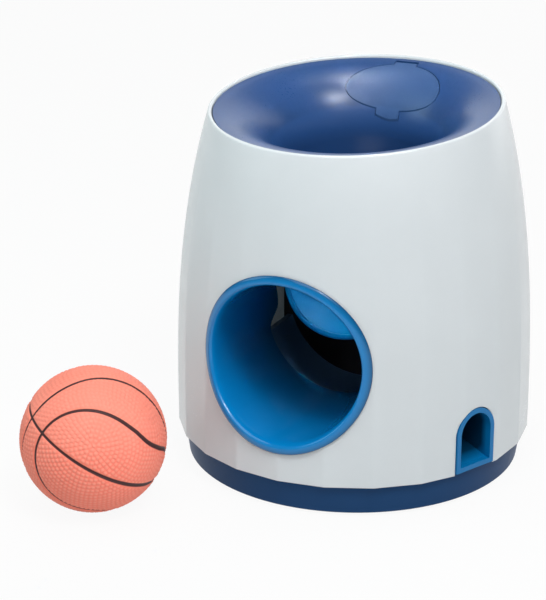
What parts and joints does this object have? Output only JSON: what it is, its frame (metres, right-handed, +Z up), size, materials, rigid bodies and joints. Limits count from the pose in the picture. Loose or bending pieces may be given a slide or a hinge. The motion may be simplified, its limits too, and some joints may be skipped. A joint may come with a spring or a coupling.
{
  "type": "dog treat puzzle",
  "caption": "Ball-operated dog treat puzzle: faceted barrel with a funnel top, a round ball tunnel, an arched treat outlet and a loose rubber ball.",
  "frame": {"origin": "middle of the base, on the surface that it stands on", "axes": "+Z up, the ball tunnel faces -Y and the treat outlet is on the +X side"},
  "size_m": [0.198, 0.233, 0.181],
  "materials": {
    "white_shell": "satin moulded plastic",
    "navy": "satin moulded plastic",
    "light_blue": "gloss moulded plastic",
    "black_plastic": "matt moulded plastic",
    "gear_plastic": "natural acetal",
    "steel": "zinc plated",
    "grip_rubber": "matt rubber",
    "ball_rubber": "pebbled rubber"
  },
  "bodies": {
    "root": {"shell": "white_shell", "funnel": "navy", "flap_pin": "steel", "ball_tunnel": "light_blue", "ball_tray": "navy", "treat_outlet": "light_blue", "treat_chute": "black_plastic", "hopper": "black_plastic", "left_cheek": "black_plastic", "right_cheek": "black_plastic", "bulkhead": "black_plastic", "return_spring": "steel", "drum_bushes": "gear_plastic", "base": "navy", "grip_ring": "grip_rubber", "base_screws": "steel", "frame_screws": "steel"},
    "paddle": {"paddle": "light_blue", "sector_gear": "gear_plastic", "sector_screw": "steel"},
    "drum": {"dosing_drum": "gear_plastic", "drum_axle": "steel", "drum_pinion": "gear_plastic", "axle_clips": "steel"},
    "flap": {"filler_flap": "navy"},
    "ball": {"ball": "ball_rubber"}
  },
  "joints": [
    {"name": "paddle_swing", "type": "hinge", "parent": "root", "child": "paddle", "pos_m": [0, 0.03, 0.122], "axis": [1, 0, 0], "range_deg": [0, 45], "stiffness_Nm_per_rad": 0.012, "springref_deg": -40.11, "deforming": ["return_spring"]},
    {"name": "drum_turn", "type": "hinge", "parent": "root", "child": "drum", "pos_m": [0, 0.05121, 0.10079], "axis": [1, 0, 0], "range_deg": [-135, 0]},
    {"name": "flap_hinge", "type": "hinge", "parent": "root", "child": "flap", "pos_m": [0, 0.06262, 0.17719], "axis": [-1, 0, 0], "range_deg": [0, 105]},
    {"name": "ball_lift", "type": "slide", "parent": "root", "child": "ball", "axis": [0, 0, 1], "range_m": [0, 0.25]}
  ],
  "couplings": [
    {"joint": "drum_turn", "follows": "paddle_swing", "ratio": -3}
  ]
}
